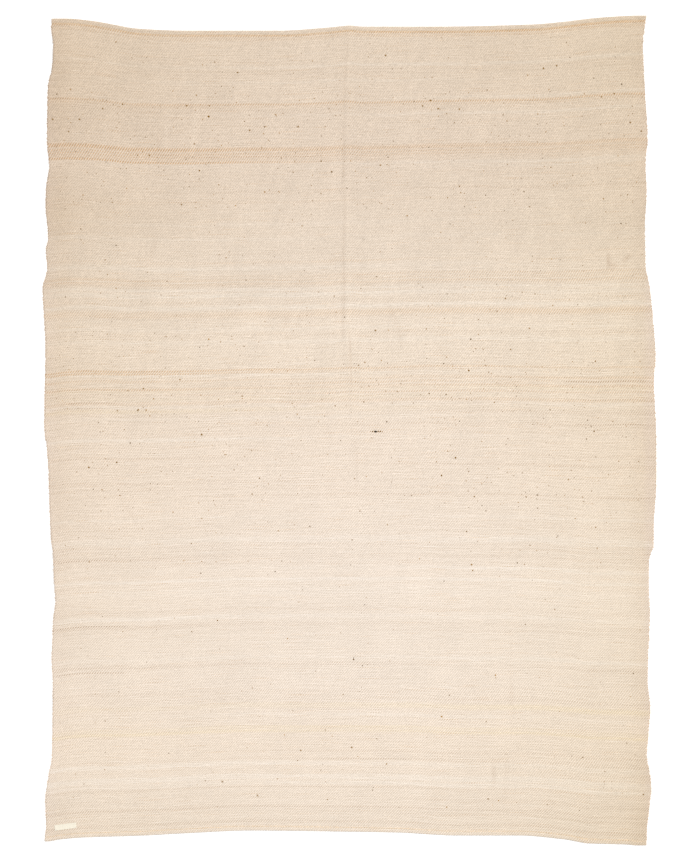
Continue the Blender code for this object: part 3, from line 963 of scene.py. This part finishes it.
class ClothSettings(bpy.types.PropertyGroup):
    end_pitch: length_setting("End pitch", "Distance from one warp end to the next", 1.5625 * MM, min=0.0002)
    pick_pitch: length_setting("Pick pitch", "Distance from one pick to the next", 2.0 * MM, min=0.0002)
    weave_relief: length_setting("Weave relief", "Height of a float over a hollow", 0.45 * MM, min=0.0)
    warp_colour: colour_setting("Warp colour", "Colour of the warp at its lightest", (0.93, 0.83, 0.70))
    weft_colour: colour_setting("Weft colour", "Colour of a plain pick at its lightest", (0.84, 0.71, 0.56))
    # Painted shade in the hollows between floats
    painted_hollow_shade: bpy.props.FloatProperty(
        name="Hollow depth", description="How much darker the hollows between floats are", default=0.42,
        min=0.0, max=1.0, subtype="FACTOR",
    )
    stripes: bpy.props.FloatProperty(
        name="Stripes", description="How much striped picks differ in shade", default=1.8, min=0.0, max=3.0
    )
    streaks: bpy.props.FloatProperty(
        name="Streaks", description="How much the picks differ in shade", default=1.0, min=0.0, max=2.0
    )
    row_spacing: length_setting("Row spacing", "Between two rows of faces", 6.4 * MM, min=0.005)
    column_spacing: length_setting("Column spacing", "Between two columns of faces", 6.6 * MM, min=0.005)


class TrimSettings(bpy.types.PropertyGroup):
    stitch_gap: length_setting("Stitch gap", "Distance from one hem stitch to the next", 6.5 * MM, min=0.002)
    stitch_length: length_setting("Stitch length", "Length of a hem stitch", 4.6 * MM, min=0.001)
    thread_radius: length_setting("Thread radius", "Radius of the sewing thread", 0.6 * MM, min=0.0001)
    thread_colour: colour_setting("Thread colour", "Colour of the hem's thread", (0.72, 0.55, 0.36))
    loop_gap: length_setting("Loop gap", "From one turn of the weft to the next", 4.0 * MM, min=0.002)
    dark_fleck: colour_setting("Dark fleck", "Colour of the darkest flecks", (0.09, 0.046, 0.006))
    red_fleck: colour_setting("Red-brown fleck", "Colour of the reddest flecks", (0.36, 0.175, 0.008))
    fibres: bpy.props.IntProperty(
        name="Fibres", description="Loose fibres that stand out of the cloth", default=3600, min=0, max=6000
    )


class LabelSettings(bpy.types.PropertyGroup):
    width: length_setting("Label width", "Length of the tape between its folded ends", 55.0 * MM)
    height: length_setting("Label height", "Width of the tape", 14.0 * MM)
    turn: bpy.props.FloatProperty(
        name="Turn", description="How far the label is turned", default=math.radians(7.5), subtype="ANGLE"
    )
    tape_colour: colour_setting("Tape colour", "Colour of the tape", (0.80, 0.74, 0.61))


class StageSettings(bpy.types.PropertyGroup):
    floor_colour: colour_setting("Floor colour", "Colour of the floor", (0.97, 0.97, 0.97))
    floor_size: length_setting("Floor size", "Length of a side of the floor", 60.0)
    room_light: bpy.props.FloatProperty(
        name="Room light", description="Strength of the light from all round", default=0.755, min=0.0
    )
    key_light: bpy.props.FloatProperty(
        name="Key light", description="Strength of the soft light from one side", default=1.93, min=0.0
    )
    lens: bpy.props.FloatProperty(
        name="Lens", description="The camera's focal length in millimetres", default=85.0, min=10.0
    )


SETTINGS = {
    "blanket_cloth": ClothSettings,
    "blanket_trim": TrimSettings,
    "blanket_label": LabelSettings,
    "blanket_stage": StageSettings,
}


def cloth_rows(spacing):
    """Places along the straight cloth from its bottom end to its top end, with the hems' steps at both."""
    steps = [step.inwards * MM for step in HEM_SECTION]
    start = LENGTH / 2 - steps[-1]
    between = np.linspace(-start, start, round(2 * start / spacing) + 1)[1:-1]
    low = [-LENGTH / 2 + step for step in steps]
    return np.array(low + list(between) + [-step for step in low[::-1]])


# The columns lie closer together where the fold and the creases beside it are
FINE_REACH = 34 * MM
FINE_COLUMNS = 29


def cloth_columns(spacing):
    """Places across the straight cloth, closer at the selvedges and on both sides of the fold."""
    steps = [step.inwards * MM for step in SELVEDGE_SECTION]
    start = WIDTH / 2 - steps[-1]
    between = np.linspace(-start, start, round(2 * start / spacing) + 1)[1:-1]
    fold = np.linspace(-FINE_REACH, FINE_REACH, FINE_COLUMNS)
    low = [-WIDTH / 2 + step for step in steps]
    outside = between[np.abs(between) > FINE_REACH + spacing / 3]
    return np.array(sorted(low + list(outside) + list(fold) + [-step for step in low]))


def sheet_numbers(rim):
    """The vertex numbers of a closed sheet's face and underside, which share those of the rim."""
    face = np.arange(rim.size).reshape(rim.shape)
    underside = face.copy()
    underside[~rim] = rim.size + np.arange((~rim).sum())
    return face, underside


def sheet_values(face, underside, rim):
    """A row for each vertex of a closed sheet, from grids of rows for its face and its underside."""
    return np.concatenate([face.reshape(-1, face.shape[-1]), underside[~rim]])


def grid_quads(numbers, order=(0, 1, 2, 3)):
    """The quads of a grid of vertex numbers. They face up in the usual order."""
    corners = numbers[:-1, :-1], numbers[1:, :-1], numbers[1:, 1:], numbers[:-1, 1:]
    return np.stack([corners[i] for i in order], axis=-1)


FACING_DOWN = (0, 3, 2, 1)


def underside_faces(below, ring, step):
    """Faces of the underside: fine ones in the outer rings, and wide ones inside that share their points."""
    columns, rows = below.shape
    quads = grid_quads(below, FACING_DOWN)
    inner = np.zeros(quads.shape[:2], dtype=bool)
    inner[ring:-ring, ring:-ring] = True
    faces = quads[~inner].tolist()
    across = sorted({*range(ring, columns - 1 - ring, step), columns - 1 - ring})
    along = sorted({*range(ring, rows - 1 - ring, step), rows - 1 - ring})

    def side(fixed, start, end, edge):
        """The steps from start to end, each one where the side lies against the fine rings."""
        way = 1 if end > start else -1
        return list(range(start, end, way)) if fixed == edge else [start]

    for a0, a1 in zip(across, across[1:]):
        for b0, b1 in zip(along, along[1:]):
            loop = [(a0, b) for b in side(a0, b0, b1, across[0])]
            loop += [(a, b1) for a in side(b1, a0, a1, along[-1])]
            loop += [(a1, b) for b in side(a1, b1, b0, across[-1])]
            loop += [(a, b0) for a in side(b0, a1, a0, along[0])]
            faces.append([int(below[a, b]) for a, b in loop])
    return faces


class BLANKET_OT_cloth(bpy.types.Operator):
    """Make the cloth: one closed sheet with the hems, selvedges, fold and slight creases"""

    bl_idname = "blanket.make_cloth"
    bl_label = "Make the cloth"

    def execute(self, context):
        cloth = context.scene.blanket_cloth
        columns, rows = cloth_columns(cloth.column_spacing), cloth_rows(cloth.row_spacing)
        across, along = np.meshgrid(columns, rows, indexing="ij")
        x, y = spread(across, along)
        face, underside = cloth_heights(across, along)
        rim = np.zeros(across.shape, dtype=bool)
        rim[[0, -1]] = True
        rim[:, [0, -1]] = True
        above, below = sheet_numbers(rim)
        faces = grid_quads(above).reshape(-1, 4).tolist() + underside_faces(below, ring=5, step=12)
        points = sheet_values(np.stack([x, y, face], axis=-1), np.stack([x, y, underside], axis=-1), rim)
        straight = np.stack([across, along], axis=-1)
        straight = sheet_values(straight, straight, rim)
        used = np.unique(np.concatenate([np.asarray(loop) for loop in faces]))
        renumbered = np.full(len(points), -1)
        renumbered[used] = np.arange(len(used))
        faces = [renumbered[loop].tolist() for loop in faces]
        across, along = straight[used].T
        weave = np.stack(weave_place(across, along), axis=-1)
        sheet_map = np.stack([across / WIDTH + 0.5, along / LENGTH + 0.5], axis=-1)
        piece = add_mesh(
            "blanket_cloth",
            points[used],
            faces,
            twill_material(cloth),
            maps=[("Weave", weave), ("OFBake", sheet_map)],
            colours=[("Shade", shade_of(across, along))],
        )
        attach(piece, "root")
        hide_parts("blanket")
        return {"FINISHED"}


class BLANKET_OT_trim(bpy.types.Operator):
    """Make the hems' stitches and the weft's turns along both selvedges"""

    bl_idname = "blanket.make_trim"
    bl_label = "Make the stitches and selvedges"

    def execute(self, context):
        trim = context.scene.blanket_trim
        self.stitch_hems(trim)
        self.turn_weft(trim)
        return {"FINISHED"}

    def stitch_hems(self, trim):
        """Short slanting stitches in the groove along each hem."""
        random = np.random.default_rng(SEEDS["hems"])
        starts = np.arange(-WIDTH / 2 + 8 * MM, WIDTH / 2 - 8 * MM, trim.stitch_gap)
        middles = np.concatenate([starts, starts])[:, None]
        ends = np.repeat((-1, 1), len(starts))[:, None]
        seams = np.repeat((BOTTOM_SEAM.inwards, TOP_SEAM.inwards), len(starts))[:, None]
        count = len(middles)
        sections = np.linspace(-0.5, 0.5, 6)[None]
        middles = middles + random.normal(0, 0.5, (count, 1)) * MM
        across = middles + sections * trim.stitch_length * random.uniform(0.85, 1.1, (count, 1))
        inwards = (seams + random.normal(0, 0.25, (count, 1)) - 1.6 * sections) * MM
        above = (0.25 - 2.2 * np.abs(sections) ** 2.5) * MM
        paths = face_point(across, ends * (LENGTH / 2 - inwards), above)
        radii = trim.thread_radius * np.ones((count, 1)) * np.array((0.55, 0.95, 1.0, 1.0, 0.95, 0.55))
        tints = np.ones((count, 3)) * random.uniform(0.9, 1.2, (count, 1))
        material = yarn_material("hem thread", trim.thread_colour)
        piece = add_tubes("hem_stitches", paths, radii, 6, material, tints)
        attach(piece, "root")

    def turn_weft(self, trim):
        """Each pair of picks turns round the outermost end, as a small loop over the selvedge."""
        random = np.random.default_rng(SEEDS["selvedges"])
        places = np.arange(-LENGTH / 2 + 14 * MM, LENGTH / 2 - 14 * MM, trim.loop_gap)
        side = np.repeat((-1.0, 1.0), len(places))[:, None]
        count = len(side)
        along = np.tile(places, 2)[:, None] + random.normal(0, 0.35, (count, 1)) * MM
        reach = (2.2 + 0.6 * random.normal(0, 1, (count, 1))) * MM
        turn = np.linspace(0, np.pi, 7)[None]
        edge = side * WIDTH / 2 + 0 * turn
        along = along + 0 * turn
        x, y = spread(edge, along)
        face, underside = cloth_heights(edge - side * 1.6 * MM, along)
        middle, half = (face + underside) / 2, (face - underside) / 2 + 0.05 * MM
        out = side * (np.sin(turn) * reach - 0.9 * MM)
        height = np.maximum(middle + half * 0.86 * np.cos(turn), 0.62 * MM)
        paths = np.stack([x + out, y + np.cos(turn) * 1.5 * MM, height], axis=-1)
        thickness = random.uniform(0.6, 0.85, (count, 1)) * MM
        radii = thickness * np.array((0.5, 0.9, 1.0, 1.0, 1.0, 0.9, 0.5))
        # The turns take the cloth's tone with its painted light and shade at their place, and are painted up
        # to 15 % lighter against the shade they lie in
        here = side * (WIDTH / 2 - 4 * MM), along[:, :1]
        tints = (pick_tint(*here) * shade_of(*here))[:, 0] * random.uniform(1.0, 1.15, (count, 1))
        weft = bpy.context.scene.blanket_cloth.weft_colour
        material = yarn_material("weft at the selvedge", tuple(weft))
        piece = add_tubes("selvedge_turns", paths, radii, 6, material, tints)
        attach(piece, "root")


class BLANKET_OT_flecks(bpy.types.Operator):
    """Make the dark flecks: small tufts of brown fibre that lie in the weave"""

    bl_idname = "blanket.make_flecks"
    bl_label = "Make the flecks"

    def execute(self, context):
        trim = context.scene.blanket_trim
        random = np.random.default_rng(SEEDS["flecks"])
        flecks = [
            (fleck.x, fleck.y, fleck.length, MARKED_SIZE, fleck.depth, MARKED_REDNESS, STRANDS["marked"])
            for fleck in MARKED_FLECKS
        ]
        for dot in DOT_ROW:
            y = DOT_ROW_Y + random.normal(0, 0.25)
            flecks.append((dot.x, y, 1.7 * dot.size, dot.size, 1.0, dot.redness, STRANDS["dot"]))
        for zone in FLECK_ZONES:
            for _ in range(zone.count):
                x, y = random.uniform(-FLECK_REACH, FLECK_REACH), random.uniform(zone.y0, zone.y1)
                size = random.uniform(*(SMALL_SIZES if random.random() < SMALL_SHARE else LARGE_SIZES))
                depth, redness = random.uniform(0.75, 1.0), random.uniform(0.1, 1.1)
                length = random.uniform(1.0, 1.8) + size
                flecks.append((x, y, length, size, depth, redness, STRANDS["scattered"]))
        flecks = np.array(flecks)
        strands = flecks[:, 6].astype(int)
        heading = np.repeat(random.normal(0.3, 0.6, len(flecks)), strands)
        columns = np.repeat(flecks[:, :6], strands, axis=0).T
        x, y, length, radius, depth, redness = (column[:, None] for column in columns)
        count = len(x)
        slant = heading[:, None] + random.normal(0, 0.5, (count, 1))
        bend = random.normal(0, 0.2, (count, 1)) * length
        sideways = random.uniform(-1, 1, (count, 1)) * radius * 0.6
        sections = np.linspace(-0.5, 0.5, 4)[None]
        run = sections * length * random.uniform(0.7, 1.1, (count, 1))
        off = sideways + bend * (4 * sections**2 - 1)
        off_x = run * np.cos(slant) - off * np.sin(slant)
        off_y = run * np.sin(slant) + off * np.cos(slant)
        above = (random.uniform(0.2, 0.55, (count, 1)) - 1.6 * sections**2) * MM
        paths = face_point(*straighten((x + off_x) * MM, (y + off_y) * MM), above)
        radii = radius * random.uniform(0.36, 0.52, (count, 1)) * MM * np.array((0.5, 1.0, 1.0, 0.5))
        cream = np.array(context.scene.blanket_cloth.weft_colour)
        brown = np.array(trim.dark_fleck) * (1 - redness) + np.array(trim.red_fleck) * redness
        own = random.uniform(0.8, 1.2, (count, 1))
        tints = cream * 0.85 * (1 - depth) + np.maximum(brown, DARKEST_BROWN) * depth * own
        material = yarn_material("brown fleck", (1.0, 1.0, 1.0))
        piece = add_tubes("brown_flecks", paths, radii, 5, material, tints, 0.7)
        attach(piece, "root")
        return {"FINISHED"}


class BLANKET_OT_fibres(bpy.types.Operator):
    """Make the loose fibres that stand out of the face and the edges"""

    bl_idname = "blanket.make_fibres"
    bl_label = "Make the loose fibres"

    def execute(self, context):
        trim = context.scene.blanket_trim
        random = np.random.default_rng(SEEDS["fibres"])
        count = trim.fibres
        on_edge = np.arange(count) % 2 == 0
        across = random.uniform(-0.5, 0.5, count) * (WIDTH - 8 * MM)
        along = random.uniform(-0.5, 0.5, count) * (LENGTH - 30 * MM)
        side = np.where(random.uniform(size=count) < 0.5, -1.0, 1.0)
        long_side = random.uniform(size=count) < 0.6
        across = np.where(on_edge & long_side, side * (WIDTH / 2 - 1.5 * MM), across)
        along = np.where(on_edge & ~long_side, side * (LENGTH / 2 - 2 * MM), along)
        root = face_point(across, along, -0.3 * MM)
        heading = random.uniform(0, 2 * np.pi, count)
        outward = np.where(long_side, np.where(side > 0, 0, np.pi), side * np.pi / 2)
        heading = np.where(on_edge, outward + random.normal(0, 0.8, count), heading)
        length = random.uniform(3.5, 9.0, count) * MM
        curl = random.normal(0, 1.3, count)
        rise = random.uniform(0.08, 0.5, count)
        share = np.linspace(0, 1, 5)[None]
        turning = heading[:, None] + curl[:, None] * share
        step_x = np.cumsum(np.cos(turning), axis=1) - np.cos(turning[:, :1])
        step_y = np.cumsum(np.sin(turning), axis=1) - np.sin(turning[:, :1])
        x = root[:, :1] + step_x * length[:, None] / 4
        y = root[:, 1:2] + step_y * length[:, None] / 4
        arch = rise[:, None] * length[:, None] * share * (1.4 - share)
        z = np.maximum(root[:, 2:] + arch, 0.2 * MM)
        z = np.where(on_edge[:, None], np.maximum(z - 1.6 * MM * share, 0.2 * MM), z)
        radii = np.outer(random.uniform(0.05, 0.09, count) * MM, (1.0, 0.95, 0.85, 0.7, 0.4))
        tints = np.ones((count, 3)) * random.uniform(0.85, 1.1, (count, 1))
        material = yarn_material("loose alpaca fibre", (0.86, 0.74, 0.60))
        paths = np.stack([x, y, z], axis=-1)
        piece = add_tubes("loose_fibres", paths, radii, 3, material, tints)
        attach(piece, "root")
        return {"FINISHED"}


class BLANKET_OT_label(bpy.types.Operator):
    """Make the small bare label and its stitches at the lower left corner"""

    bl_idname = "blanket.make_label"
    bl_label = "Make the label"

    def execute(self, context):
        label = context.scene.blanket_label
        low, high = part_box("label")
        centre = [(a + b) / 2 for a, b in zip(low, high)]
        self.lay_tape(label, centre, low[2], high[2])
        self.sew_ends(label, centre, high[2])
        return {"FINISHED"}

    def on_floor(self, label, centre, u, v):
        """Turns places on the tape to the floor's x and y."""
        cosine, sine = math.cos(label.turn), math.sin(label.turn)
        return centre[0] + u * cosine - v * sine, centre[1] + u * sine + v * cosine

    def lay_tape(self, label, centre, low, high):
        """A thin closed slab with folded ends, rounded edges and a slight wave."""
        half_w, half_h = label.width / 2, label.height / 2
        # The edges are rounded, the ends fold under, and the face waves a little
        inner_u = np.linspace(-half_w + 1.2 * MM, half_w - 1.2 * MM, 45)
        rounding = np.array((0.0, 0.15, 0.5)) * MM
        us = np.concatenate([-half_w + rounding, inner_u, half_w - rounding[::-1]])
        inner_v = np.linspace(-half_h + 1.0 * MM, half_h - 1.0 * MM, 13)
        vs = np.concatenate([-half_h + rounding, inner_v, half_h - rounding[::-1]])
        u, v = np.meshgrid(us, vs, indexing="ij")
        inwards = np.minimum(half_w - np.abs(u), half_h - np.abs(v))
        full = np.sqrt(np.clip(1 - (1 - np.clip(inwards / (0.5 * MM), 0, 1)) ** 2, 0, 1))
        fold = np.clip((np.abs(u) - (half_w - 6 * MM)) / (0.8 * MM), 0, 1)
        wave = 0.10 * MM * np.sin(u * 210 + 1) * np.cos(v * 160) + 0.12 * MM * (v / half_h) ** 2
        top = high - 0.12 * MM + 0.18 * MM * fold + wave
        middle = (low + high) / 2 + 0 * u
        face = middle + (top - middle) * full
        back = middle + (low - middle) * full
        x, y = self.on_floor(label, centre, u, v)
        rim = inwards <= 0
        above, below = sheet_numbers(rim)
        quads = grid_quads(above), grid_quads(below, FACING_DOWN)
        faces = np.concatenate([grid.reshape(-1, 4) for grid in quads])
        points = sheet_values(np.stack([x, y, face], axis=-1), np.stack([x, y, back], axis=-1), rim)
        tape = np.stack([u, v], axis=-1)
        tape = sheet_values(tape, tape, rim)
        piece = add_mesh("label_tape", points, faces, label_material(label), maps=[("Tape", tape)])
        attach(piece, "root")
        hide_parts("label")

    def sew_ends(self, label, centre, high):
        """A row of small stitches down each folded end."""
        random = np.random.default_rng(SEEDS["label"])
        paths, radii = [], []
        sections = np.linspace(-0.5, 0.5, 5)
        for end in (-1, 1):
            for place in np.linspace(-4.6, 4.6, 5) * MM:
                u = end * (label.width / 2 - 2.2 * MM) + sections * 0.5 * MM
                v = place + sections * 1.9 * MM * random.uniform(0.9, 1.1)
                x, y = self.on_floor(label, centre, u, v)
                z = high + (0.16 - 1.3 * sections**2) * MM
                paths.append(np.stack([x, y, z], axis=-1))
                radii.append(0.2 * MM * np.array((0.7, 1.0, 1.0, 1.0, 0.7)))
        tints = np.ones((len(paths), 3))
        material = yarn_material("label thread", (0.86, 0.80, 0.68), gloss=0.4)
        piece = add_tubes("label_stitches", np.array(paths), np.array(radii), 6, material, tints)
        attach(piece, "root")


# How far the key light is turned from straight down, and how wide it is
KEY_TURN = (math.radians(-20), math.radians(24), 0)
KEY_WIDTH = math.radians(35)


class BLANKET_OT_stage(bpy.types.Operator):
    """Make the floor, the soft light and the camera straight above the blanket"""

    bl_idname = "blanket.make_stage"
    bl_label = "Make the stage"

    def execute(self, context):
        stage = context.scene.blanket_stage
        self.lay_floor(stage)
        self.set_lights(context.scene, stage)
        self.set_camera(context.scene, stage)
        context.scene.view_settings.view_transform = "Standard"
        context.scene.view_settings.look = "None"
        # Noise removal would wipe out the weave, whose floats are about a pixel wide in the picture
        context.scene.cycles.use_denoising = False
        return {"FINISHED"}

    def lay_floor(self, stage):
        half = stage.floor_size / 2
        corners = [(-half, -half, 0), (half, -half, 0), (half, half, 0), (-half, half, 0)]
        floor = add_mesh("floor", corners, [(0, 1, 2, 3)], floor_material(stage), smooth=False)

    def set_lights(self, scene, stage):
        world = bpy.data.worlds.new("soft room")
        world.use_nodes = True
        background = world.node_tree.nodes["Background"]
        background.inputs["Color"].default_value = (1.0, 1.0, 1.0, 1)
        background.inputs["Strength"].default_value = stage.room_light
        scene.world = world
        key = bpy.data.lights.new("soft key", "SUN")
        key.energy = stage.key_light
        key.angle = KEY_WIDTH
        thing = link(bpy.data.objects.new("soft key", key))
        thing.rotation_euler = KEY_TURN

    def set_camera(self, scene, stage):
        data = bpy.data.cameras.new("camera")
        data.lens = stage.lens
        camera = link(bpy.data.objects.new("camera", data))
        across = (PICTURE_WIDTH / 2 - ORIGIN_PIXEL[0]) * PIXEL
        along = (ORIGIN_PIXEL[1] - PICTURE_HEIGHT / 2) * PIXEL
        distance = PICTURE_HEIGHT * PIXEL * stage.lens / data.sensor_width
        camera.location = (across, along, distance + THICKNESS)
        scene.camera = camera


OPERATORS = (
    BLANKET_OT_stage,
    BLANKET_OT_cloth,
    BLANKET_OT_trim,
    BLANKET_OT_flecks,
    BLANKET_OT_fibres,
    BLANKET_OT_label,
)


class BLANKET_PT_panel(bpy.types.Panel):
    """The blanket's pieces and settings"""

    bl_idname = "BLANKET_PT_panel"
    bl_label = "Blanket"
    bl_space_type = "VIEW_3D"
    bl_region_type = "UI"
    bl_category = "Blanket"

    def draw(self, context):
        for operator in OPERATORS:
            self.layout.operator(operator.bl_idname)
        for name, group in SETTINGS.items():
            box = self.layout.box()
            for setting in group.__annotations__:
                box.prop(getattr(context.scene, name), setting)


CLASSES = (*SETTINGS.values(), *OPERATORS, BLANKET_PT_panel)


def register():
    for item in CLASSES:
        bpy.utils.register_class(item)
    for name, group in SETTINGS.items():
        setattr(bpy.types.Scene, name, bpy.props.PointerProperty(type=group))


def unregister():
    for name in SETTINGS:
        delattr(bpy.types.Scene, name)
    for item in reversed(CLASSES):
        bpy.utils.unregister_class(item)


def main():
    register()
    for operator in OPERATORS:
        family, action = operator.bl_idname.split(".")
        getattr(getattr(bpy.ops, family), action)()


if __name__ == "__main__":
    main()
